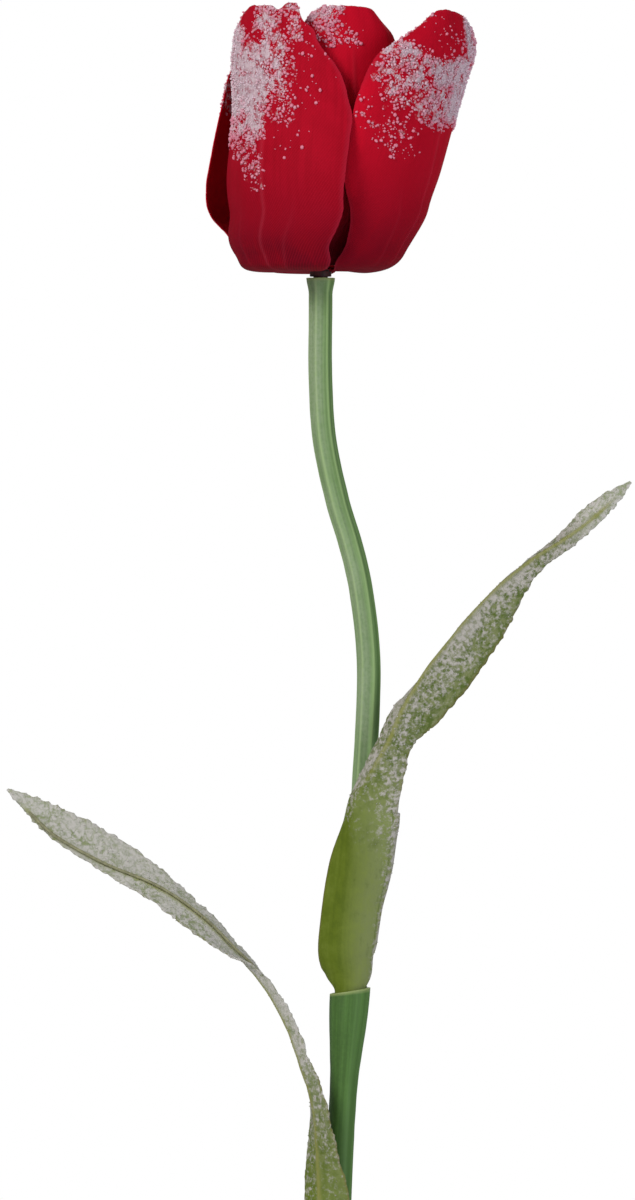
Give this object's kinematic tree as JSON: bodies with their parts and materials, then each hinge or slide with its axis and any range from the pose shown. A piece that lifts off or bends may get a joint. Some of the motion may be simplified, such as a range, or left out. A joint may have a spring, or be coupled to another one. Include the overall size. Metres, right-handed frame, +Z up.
{
  "type": "artificial tulip",
  "caption": "Artificial tulip spray: fabric petals over a plastic cup and stamens, jointed plastic stem on a core wire, and two wired fabric leaves that turn and bend.",
  "frame": {"origin": "centre of the cut lower end of the stem, on the end face of the core wire", "axes": "+Z up along the straight lower stem towards the flower, -Y towards the viewer of the picture, +X to the viewer's right, the side of the upper leaf"},
  "size_m": [0.1389, 0.0546, 0.48],
  "materials": {
    "dark_green_plastic": "soft satin moulding, dark leaf green",
    "grey_green_plastic": "ribbed satin moulding with a pale bloom",
    "yellow_plastic": "matt moulding, pale yellow-green",
    "dark_plastic": "flocked moulding, near black",
    "red_brown_plastic": "matt moulding, dark red-brown",
    "steel_wire": "drawn wire",
    "covered_wire": "thin olive cover over fine wire",
    "petal_fabric": "woven fabric dyed deep red, with pale artificial frost near the rims",
    "leaf_fabric": "coated woven fabric, olive green with pale artificial frost"
  },
  "bodies": {
    "stem": {"lower_stem_tube": "dark_green_plastic", "middle_stem_tube": "dark_green_plastic", "upper_stem_tube": "grey_green_plastic", "core_wire": "steel_wire"},
    "head": {"outer_petal_front": "petal_fabric", "outer_petal_right": "petal_fabric", "outer_petal_back": "petal_fabric", "inner_petal_front": "petal_fabric", "inner_petal_right": "petal_fabric", "inner_petal_left": "petal_fabric", "receptacle": "red_brown_plastic", "pistil": "yellow_plastic", "stamen_1": "dark_plastic", "stamen_2": "dark_plastic", "stamen_3": "dark_plastic", "stamen_4": "dark_plastic", "stamen_5": "dark_plastic", "stamen_6": "dark_plastic"},
    "upper_leaf_foot": {"upper_leaf_collar": "dark_green_plastic"},
    "upper_leaf": {"upper_leaf_blade": "leaf_fabric", "upper_leaf_wire": "covered_wire"},
    "lower_leaf_foot": {"lower_leaf_collar": "dark_green_plastic"},
    "lower_leaf": {"lower_leaf_blade": "leaf_fabric", "lower_leaf_wire": "covered_wire"}
  },
  "joints": [
    {"name": "head_turn", "type": "hinge", "parent": "stem", "child": "head", "pos_m": [-0.00342, 0, 0.4194], "axis": [0, 0, 1], "continuous": true},
    {"name": "upper_leaf_turn", "type": "hinge", "parent": "stem", "child": "upper_leaf_foot", "pos_m": [0.00315, 0, 0.261], "axis": [0.0672, 0, 0.9977], "continuous": true},
    {"name": "upper_leaf_bend", "type": "hinge", "parent": "upper_leaf_foot", "child": "upper_leaf", "pos_m": [0.00315, -0.0033, 0.261], "axis": [1, 0, 0], "range_deg": [0, 20]},
    {"name": "lower_leaf_turn", "type": "hinge", "parent": "stem", "child": "lower_leaf_foot", "pos_m": [0, 0, 0.19], "axis": [0, 0, 1], "continuous": true},
    {"name": "lower_leaf_bend", "type": "hinge", "parent": "lower_leaf_foot", "child": "lower_leaf", "pos_m": [-0.00244, -0.00291, 0.19], "axis": [0.7659, -0.6429, 0], "range_deg": [0, 20]}
  ]
}
